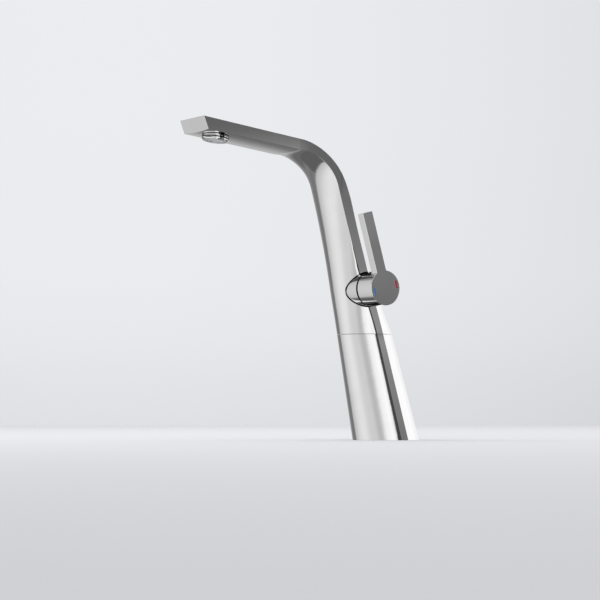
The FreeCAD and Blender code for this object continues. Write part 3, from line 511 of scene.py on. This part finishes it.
# The aerator under the tip: a plated housing screwed into the arm with a rubber seal over it,
# and a plastic insert that breaks the water into a soft stream. Its turned groove is painted near black as shade.
GROOVE_ABOVE = 0.0028
GROOVE_HALF_WIDTH = 0.0006
GROOVE_REACH = 0.0131
aerator_grey = moulding(
    "grey aerator plastic", (0.58, 0.59, 0.60), (0.70, 0.71, 0.72), roughness=0.35, depth=0.2)
small_plate = bright_plate("bright chrome plate on turned work", edge=0.0003)
tree = small_plate.node_tree
outlet = next(mount for mount in frame["record"]["mounts"] if mount["name"] == "water_outlet")
off_outlet = reckon_place(tree, "SUBTRACT", on_piece(tree), outlet["pos_m"])
down = reckon_place(tree, "DOT_PRODUCT", off_outlet, outlet["axis"])
reach = reckon_place(tree, "LENGTH", reckon_place(tree, "CROSS_PRODUCT", off_outlet, outlet["axis"]))
from_groove = reckon(tree, "ABSOLUTE", reckon(tree, "ADD", down, GROOVE_ABOVE))
paint_dark_also(tree, reckon(tree, "MULTIPLY", reckon(tree, "LESS_THAN", from_groove, GROOVE_HALF_WIDTH),
                       reckon(tree, "LESS_THAN", reach, GROOVE_REACH)))
finish_nodes(small_plate, "aerator_housing")
finish_nodes(black_rubber, "aerator_seal")
finish_nodes(aerator_grey, "aerator_insert")

# The handle: a plated zinc cap with a flat lever, clamped on the cartridge's square brass
# spindle by a grub screw under a small plug. Two enamelled marks in its face show cold and hot.
# Its edges are crisp on the face and rounder at the rim, and its lip towards the boss is painted near black as
# shade.
FACE_REACH, RIM_REACH = 0.0157, 0.0163
FACE_EDGE, RIM_EDGE = 0.0001, 0.0007
LIP_SHADED_UP_TO, LIP_BRIGHT_FROM = 0.0003, 0.0006
OFF_THE_AXIS = (0.0, 1.0, 1.0)
handle_plate = bright_plate("bright chrome plate on the handle", RIM_EDGE)
tree = handle_plate.node_tree
where = on_piece(tree)
turning = next(joint for joint in frame["joints"] if joint["name"] == "mix_turn")
from_joint = reckon_place(tree, "SUBTRACT", where, turning["pos_m"])
reach = reckon_place(tree, "LENGTH", reckon_place(tree, "MULTIPLY", from_joint, OFF_THE_AXIS))
edge = pass_over(tree, reach, FACE_REACH, RIM_REACH, FACE_EDGE, RIM_EDGE)
tree.links.new(edge, tree.nodes["hand polish"].inputs["Edge"])
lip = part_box("handle")[0].x
paint_dark_also(tree, pass_over(tree, axes(tree, where)["X"], lip + LIP_BRIGHT_FROM, lip + LIP_SHADED_UP_TO))
plug_grey = moulding(
    "grey plug plastic", (0.30, 0.31, 0.32), (0.36, 0.37, 0.38), roughness=0.25, depth=0.1)
finish_nodes(handle_plate, "handle")
finish_nodes(turned_brass, "stem")
finish_nodes(stainless, "grub_screw")
finish_nodes(plug_grey, "screw_plug")


def enamel(name, dark, light):
    """Glossy enamel filled flush into the face."""
    material = moulding(name, dark, light, roughness=0.15, depth=0.1, scale=1800.0)
    material.node_tree.nodes["Principled BSDF"].inputs["Coat Weight"].default_value = 0.6
    return material


finish_nodes(enamel("blue enamel", (0.050, 0.160, 0.360), (0.075, 0.200, 0.420)), "cold_mark")
finish_nodes(enamel("red enamel", (0.330, 0.025, 0.045), (0.420, 0.040, 0.060)), "hot_mark")

# The deck that the tap stands on: a wide, matt, pale sheet that melts into the backdrop.
# It is painted palest in a soft pool of light to the left of the tap and behind it, and darker further out.


def grey(level):
    """The light of a grey as it is read off a screen, 0 to 255."""
    share = level / 255
    return share / 12.92 if share <= 0.04045 else ((share + 0.055) / 1.055) ** 2.4


def shades(tree, value, stops, light=1.0, tint=(1.0, 1.0, 1.0)):
    """A grey that follows a value through (place, grey) stops, with a light and a tint."""
    low, high = stops[0][0], stops[-1][0]
    node = tree.nodes.new("ShaderNodeValToRGB")
    elements = node.color_ramp.elements
    elements.remove(elements[0])
    for step, (spot, level) in enumerate(stops):
        share = (spot - low) / (high - low)
        element = elements[0] if step == 0 else elements.new(share)
        element.position = share
        element.color = tuple(grey(level) * light * part for part in tint) + (1.0,)
    tree.links.new(pass_over(tree, value, low, high), node.inputs["Fac"])
    return node.outputs["Color"]


DECK_REACH = 4.8
DECK_SIDES = 96
deck_mesh = bmesh.new()
bmesh.ops.create_circle(deck_mesh, cap_ends=True, segments=DECK_SIDES, radius=DECK_REACH)
deck_data = bpy.data.meshes.new("deck")
deck_mesh.to_mesh(deck_data)
deck_mesh.free()
deck = bpy.data.objects.new("deck", deck_data)
bpy.context.collection.objects.link(deck)
deck.visible_glossy = False
LIGHT_POOL_CENTRE = (-0.75, 0.495, 0.0)
LIGHT_POOL_TINT = (0.99, 0.995, 1.015)
# Greys of the painted pool of light, by distance from its centre in metres.
LIGHT_POOL_SHADES = (
    (0.0, 241), (0.3, 240.5), (0.58, 238.5), (0.92, 236), (1.23, 232.5), (1.64, 229), (1.99, 226.9),
    (2.25, 224.8), (2.44, 222.7), (2.68, 219.3), (DECK_REACH, 236))
FADE_START, FADE_END = 1.85, 2.6
deck_paint, tree, surface = new_material("pale deck")
surface.inputs["Roughness"].default_value = 0.8
surface.inputs["Specular IOR Level"].default_value = 0.0
where = on_piece(tree)
from_light_pool = reckon_place(tree, "DISTANCE", where, LIGHT_POOL_CENTRE)
tree.links.new(shades(tree, from_light_pool, LIGHT_POOL_SHADES, tint=LIGHT_POOL_TINT), surface.inputs["Base Color"])
from_tap = reckon_place(tree, "LENGTH", where)
faded = pass_over(tree, from_tap, FADE_START, FADE_END, 1.0, 0.0, smooth=True)
tree.links.new(faded, surface.inputs["Alpha"])
deck_data.materials.append(deck_paint)

# The pale studio round the tap: white walls with dark boards between and over them, which is
# what bright plating shows as its dark and light bands. Bearings go round from the front
# towards the handle's side, and rises go up from the horizon, both in degrees.
world = bpy.data.worlds.new("pale studio")
bpy.context.scene.world = world
world.use_nodes = True
tree = world.node_tree
tree.nodes.clear()
across, back, upward = axes(tree, tree.nodes.new("ShaderNodeTexCoord").outputs["Generated"])
forward = reckon(tree, "MULTIPLY", back, -1.0)
bearing = reckon(tree, "DEGREES", reckon(tree, "ARCTAN2", across, forward))
rise = reckon(tree, "DEGREES", reckon(tree, "ARCSINE", upward))


def between(value, low, high, soft):
    """One between two angles and nought outside them, with soft ends."""
    after = pass_over(tree, value, low - soft, low + soft, smooth=True)
    before = pass_over(tree, value, high + soft, high - soft, smooth=True)
    return reckon(tree, "MULTIPLY", after, before)


def screen_grey(level):
    """A grey as a colour with its alpha."""
    return (grey(level),) * 3 + (1.0,)


# The walls slant on the side of the handle, below the horizon. They are lit a little more
# than the greys that the plating shows of them, for what the plating swallows.
PLATING_LOSS = 0.925
WALL_SLANT = -1.3
SLANT_START, SLANT_END = 10, 45
SLANT_BOTTOM = -12
WALL_SHADES = (
    (-180, 251), (-160, 240), (-144, 243), (-132, 241), (-127, 185), (-119, 179), (-96, 127),
    (-84, 112), (-74, 118), (-70, 140), (-67, 183), (-54, 201), (-42, 216), (-26, 225), (-12, 223),
    (0, 210), (12, 204), (30, 203), (48, 188), (56, 181), (64, 190), (69, 215), (75, 238), (90, 250),
    (96.5, 238), (99.5, 202), (100.5, 66), (117, 66), (119, 120), (141, 120), (143.5, 250), (180, 252))
slant = pass_over(tree, bearing, SLANT_START, SLANT_END, 0.0, WALL_SLANT, smooth=True)
below_horizon = reckon(tree, "MINIMUM", reckon(tree, "MAXIMUM", rise, SLANT_BOTTOM), 0.0)
slanted = reckon(tree, "MULTIPLY_ADD", below_horizon, slant, bearing)
studio = shades(tree, slanted, WALL_SHADES, 1 / PLATING_LOSS)

# One tall board is lighter at the height that the ground flats of the neck look at.
TALL_BOARD = (118, 142)
TALL_BOARD_SHADES = (
    (-12, 20), (-7, 50), (-3, 108), (1, 112), (2.8, 107), (3.6, 115), (4.5, 115), (5.0, 122), (5.5, 124),
    (6.0, 126), (6.6, 133), (7.05, 142), (7.3, 121), (7.7, 100), (8.4, 90), (11, 60), (18, 20))
tall_board = shades(tree, rise, TALL_BOARD_SHADES, 1 / PLATING_LOSS)
studio = laid_over(tree, studio, tall_board, between(bearing, *TALL_BOARD, soft=0.6))

# The lower half of the walls behind the tap is in shade.
BACK_SHADE = 104
BACK_START, BACK_END = 92, 100
SHADE_START, SHADE_END = -6, -24
behind = pass_over(tree, reckon(tree, "ABSOLUTE", bearing), BACK_START, BACK_END)
low_down = pass_over(tree, rise, SHADE_END, SHADE_START, 1.0, 0.0, smooth=True)
studio = laid_over(tree, studio, screen_grey(BACK_SHADE), reckon(tree, "MULTIPLY", behind, low_down))

# The hung boards: grey, left and right bearing, bottom and top rise, softness of the sides.
HUNG_BOARDS = {
    "over the front": (80, -50, 36, 17, 50, 3.0),
    "high on the left": (20, -122, -73, 33, 60, 3.0),
    "in the left corner": (25, -134, -106, 15, 45, 6.0),
    "high on the right": (20, 96, 136, 25, 50, 3.0),
    "low on the left": (95, -125, -72, -90, -31.5, 3.0),
    "under the front": (70, -12, 44, -54, -38, 3.0),
    "under the right": (10, 44, 98, -50, -26, 3.0),
    "low on the right": (12, 102, 136, -40, -11, 3.0)}
for name, (level, left, right, bottom, top, soft) in HUNG_BOARDS.items():
    board = reckon(tree, "MULTIPLY", between(bearing, left, right, soft),
                   between(rise, bottom, top, soft=1.5))
    studio = laid_over(tree, studio, screen_grey(level), board)
    studio.node.name = name

# The backdrop is what stands behind the tap when one looks straight at it.
# Its greys are a painted fall of light: a pale band just under the horizon, darker further down, and lightest at
# bearings near -118.
BACKDROP_TINT = (0.985, 0.995, 1.022)
BACKDROP_SHADES = (
    (-12, 216), (-5.0, 218), (-1.9, 226), (-1.05, 227), (-0.88, 231), (-0.77, 234), (-0.66, 235),
    (-0.55, 232), (-0.45, 227), (-0.34, 225), (-0.12, 226), (0.9, 229), (2.0, 233), (3.6, 236), (8, 237),
    (12, 237))
BACKDROP_SIDES = (
    (-180, 243), (-134, 239), (-131.3, 244.5), (-128.3, 248.5), (-125, 252), (-122, 254), (-119.3, 255),
    (-115.8, 255), (-110, 252), (-60, 246), (180, 243))
ROOM_LIGHT = (0.86, 0.86, 0.87, 1.0)
upright = shades(tree, rise, BACKDROP_SHADES, tint=BACKDROP_TINT)
sideways = shades(tree, bearing, BACKDROP_SIDES)
backdrop = laid_over(tree, upright, sideways, 1.0)
backdrop.node.blend_type = "MULTIPLY"
path = tree.nodes.new("ShaderNodeLightPath").outputs
room = laid_over(tree, ROOM_LIGHT, studio, path["Is Glossy Ray"])
seen = laid_over(tree, room, backdrop, path["Is Camera Ray"])
shine = tree.nodes.new("ShaderNodeBackground")
tree.links.new(seen, shine.inputs["Color"])
sky = tree.nodes.new("ShaderNodeOutputWorld")
tree.links.new(shine.outputs["Background"], sky.inputs["Surface"])

# A round soft box lights the deck and the tap from above, out of sight of the plating.
# The camera looks up at the tap a little, from between its front and the handle's side.
LAMP_PLACE = Vector((-0.5, -0.9, 1.5))
LAMP_TARGET = Vector((0, 0, 0.1))
lamp_data = bpy.data.lights.new("soft_box", "AREA")
lamp_data.shape = "DISK"
lamp_data.size = 0.9
lamp_data.energy = 5.0
lamp = bpy.data.objects.new("soft_box", lamp_data)
bpy.context.collection.objects.link(lamp)
lamp.location = LAMP_PLACE
lamp.rotation_mode = "QUATERNION"
lamp.rotation_quaternion = (LAMP_PLACE - LAMP_TARGET).to_track_quat("Z", "Y")
lamp.visible_glossy = False

CAMERA_PLACE = (1.7134, -1.2333, 0.0282)
CAMERA_BEARING = math.radians(56.58)
CAMERA_PITCH = math.radians(3.04)
CAMERA_LENS = 126.19
camera_data = bpy.data.cameras.new("photograph")
camera_data.lens = CAMERA_LENS
camera_data.clip_end = 50.0
camera = bpy.data.objects.new("photograph", camera_data)
bpy.context.collection.objects.link(camera)
camera.location = CAMERA_PLACE
level_look = math.cos(CAMERA_PITCH)
look = Vector((-math.sin(CAMERA_BEARING) * level_look, math.cos(CAMERA_BEARING) * level_look,
               math.sin(CAMERA_PITCH)))
camera.rotation_mode = "QUATERNION"
camera.rotation_quaternion = look.to_track_quat("-Z", "Y")
bpy.context.scene.camera = camera
bpy.context.scene.view_settings.view_transform = "Standard"
